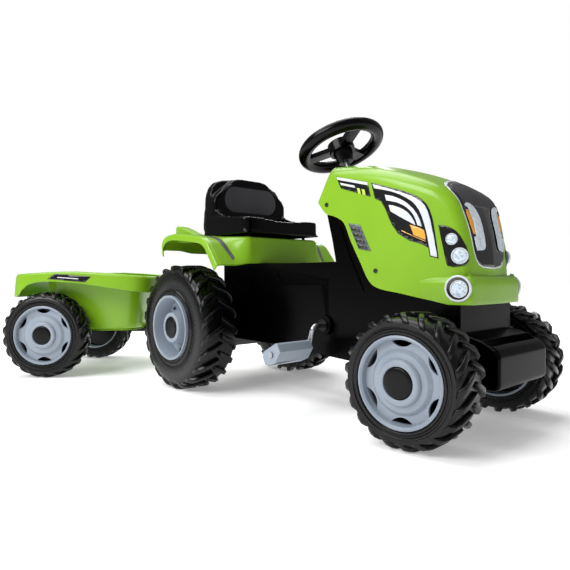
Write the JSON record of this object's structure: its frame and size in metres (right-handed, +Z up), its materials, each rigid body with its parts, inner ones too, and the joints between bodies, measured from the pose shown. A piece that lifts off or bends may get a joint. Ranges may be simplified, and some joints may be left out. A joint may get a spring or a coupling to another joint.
{
  "type": "ride-on pedal tractor with trailer",
  "caption": "Child's ride-on pedal tractor in green and black plastic, with steered front wheels, a chain-driven rear axle and a hitched two-wheel trailer.",
  "frame": {"origin": "centre of the whole object's footprint box on the floor, with the trailer swung towards the tractor's right", "axes": "+X forward along the tractor, +Y to the tractor's left, +Z up"},
  "size_m": [1.4248, 0.6888, 0.5766],
  "materials": {
    "green_plastic": "semi-gloss moulded plastic, lime green",
    "black_plastic": "satin moulded plastic, black",
    "tyre_plastic": "blow-moulded plastic tyre, satin black",
    "grey_plastic": "satin moulded plastic, light blue grey",
    "gloss_black": "glossy black plastic",
    "seat_panel_grey": "fine grained plastic, dark grey",
    "lamp_white": "glossy white-blue plastic",
    "orange": "glossy orange plastic",
    "bush_plastic": "natural nylon",
    "zinc_steel": "zinc-plated steel",
    "dark_steel": "oiled dark steel"
  },
  "bodies": {
    "tractor": {"main_frame": "black_plastic", "axle_carrier": "black_plastic", "hood": "green_plastic", "grille_panel": "gloss_black", "light_strips": "lamp_white", "indicator_inserts": "orange", "lamp_bezels": "gloss_black", "upper_lamps": "lamp_white", "middle_lamps": "lamp_white", "headlights": "lamp_white", "louvre_panels": "seat_panel_grey", "saddle": "green_plastic", "hood_screws": "dark_steel", "column_bushes": "bush_plastic", "crank_bushes": "black_plastic", "axle_bushes": "black_plastic", "chain": "dark_steel", "hitch_pin": "zinc_steel", "hitch_clip": "zinc_steel"},
    "seat": {"seat": "black_plastic", "seat_panel": "seat_panel_grey"},
    "steering_column": {"steering_wheel": "black_plastic", "steering_column": "zinc_steel", "column_collar": "black_plastic"},
    "horn_button": {"horn_button": "black_plastic"},
    "knuckle_left": {"stub_axle_left": "zinc_steel"},
    "knuckle_right": {"stub_axle_right": "zinc_steel"},
    "tie_rod": {"tie_rod": "zinc_steel"},
    "front_wheel_left": {"front_tyre_left": "tyre_plastic", "front_rim_left": "grey_plastic", "front_cap_left": "black_plastic"},
    "front_wheel_right": {"front_tyre_right": "tyre_plastic", "front_rim_right": "grey_plastic", "front_cap_right": "black_plastic"},
    "crank": {"crank": "zinc_steel", "crank_sprocket": "bush_plastic"},
    "pedal_left": {"pedal_left": "grey_plastic"},
    "pedal_right": {"pedal_right": "grey_plastic"},
    "rear_drive": {"rear_axle": "zinc_steel", "axle_sprocket": "bush_plastic", "rear_tyre_right": "tyre_plastic", "rear_rim_right": "grey_plastic", "rear_cap_right": "black_plastic"},
    "rear_wheel_left": {"rear_tyre_left": "tyre_plastic", "rear_rim_left": "grey_plastic", "rear_cap_left": "black_plastic"},
    "trailer": {"trailer_tub": "green_plastic", "drawbar": "black_plastic", "trailer_axle": "zinc_steel", "drawbar_screws": "dark_steel"},
    "trailer_wheel_left": {"trailer_tyre_left": "tyre_plastic", "trailer_rim_left": "grey_plastic", "trailer_cap_left": "black_plastic"},
    "trailer_wheel_right": {"trailer_tyre_right": "tyre_plastic", "trailer_rim_right": "grey_plastic", "trailer_cap_right": "black_plastic"}
  },
  "joints": [
    {"name": "steering", "type": "hinge", "parent": "tractor", "child": "steering_column", "pos_m": [0.32228, 0.11936, 0.533], "axis": [-0.3875, 0, 0.9219], "range_deg": [-27.8, 12.45]},
    {"name": "horn_press", "type": "slide", "parent": "steering_column", "child": "horn_button", "axis": [-0.3875, 0, 0.9219], "range_m": [-0.003, 0], "stiffness_N_per_m": 150, "springref_m": 0.002},
    {"name": "steer_left", "type": "hinge", "parent": "tractor", "child": "knuckle_left", "pos_m": [0.60128, 0.21836, 0.1], "axis": [0, 0, 1], "range_deg": [-22.3, 10.1]},
    {"name": "steer_right", "type": "hinge", "parent": "tractor", "child": "knuckle_right", "pos_m": [0.60128, 0.02036, 0.1], "axis": [0, 0, 1], "range_deg": [-22.3, 10.1]},
    {"name": "tie_rod_turn", "type": "hinge", "parent": "knuckle_left", "child": "tie_rod", "pos_m": [0.55157, 0.21305, 0.1188], "axis": [0, 0, 1], "range_deg": [-10.3, 22.5]},
    {"name": "front_wheel_left", "type": "hinge", "parent": "knuckle_left", "child": "front_wheel_left", "pos_m": [0.59469, 0.28001, 0.1026], "axis": [-0.1063, 0.9943, 0], "continuous": true},
    {"name": "front_wheel_right", "type": "hinge", "parent": "knuckle_right", "child": "front_wheel_right", "pos_m": [0.60787, -0.04129, 0.1026], "axis": [-0.1063, 0.9943, 0], "continuous": true},
    {"name": "rear_drive", "type": "hinge", "parent": "tractor", "child": "rear_drive", "pos_m": [-0.00872, 0.11936, 0.144], "axis": [0, 1, 0], "continuous": true},
    {"name": "rear_wheel_left", "type": "hinge", "parent": "tractor", "child": "rear_wheel_left", "pos_m": [-0.00872, 0.29136, 0.144], "axis": [0, 1, 0], "continuous": true},
    {"name": "crank_turn", "type": "hinge", "parent": "tractor", "child": "crank", "pos_m": [0.35428, 0.11936, 0.164], "axis": [0, 1, 0], "continuous": true},
    {"name": "pedal_left", "type": "hinge", "parent": "crank", "child": "pedal_left", "pos_m": [0.36973, 0.28836, 0.21155], "axis": [0, 1, 0], "continuous": true},
    {"name": "pedal_right", "type": "hinge", "parent": "crank", "child": "pedal_right", "pos_m": [0.33883, -0.04964, 0.11645], "axis": [0, 1, 0], "continuous": true},
    {"name": "seat_slide", "type": "slide", "parent": "tractor", "child": "seat", "axis": [1, 0, 0], "range_m": [-0.03, 0.008]},
    {"name": "hitch_swing", "type": "hinge", "parent": "tractor", "child": "trailer", "pos_m": [-0.25072, 0.11936, 0.144], "axis": [0, 0, 1], "range_deg": [-101.3, 10.7]},
    {"name": "trailer_wheel_left", "type": "hinge", "parent": "trailer", "child": "trailer_wheel_left", "pos_m": [-0.61983, -0.01622, 0.1114], "axis": [-0.7108, 0.7034, 0], "continuous": true},
    {"name": "trailer_wheel_right", "type": "hinge", "parent": "trailer", "child": "trailer_wheel_right", "pos_m": [-0.38242, -0.25115, 0.1114], "axis": [-0.7108, 0.7034, 0], "continuous": true}
  ],
  "couplings": [
    {"joint": "steer_left", "follows": "steering", "ratio": 0.795},
    {"joint": "steer_right", "follows": "steering", "ratio": 0.795},
    {"joint": "tie_rod_turn", "follows": "steering", "ratio": -0.795},
    {"joint": "rear_drive", "follows": "crank_turn", "ratio": 1.5}
  ]
}
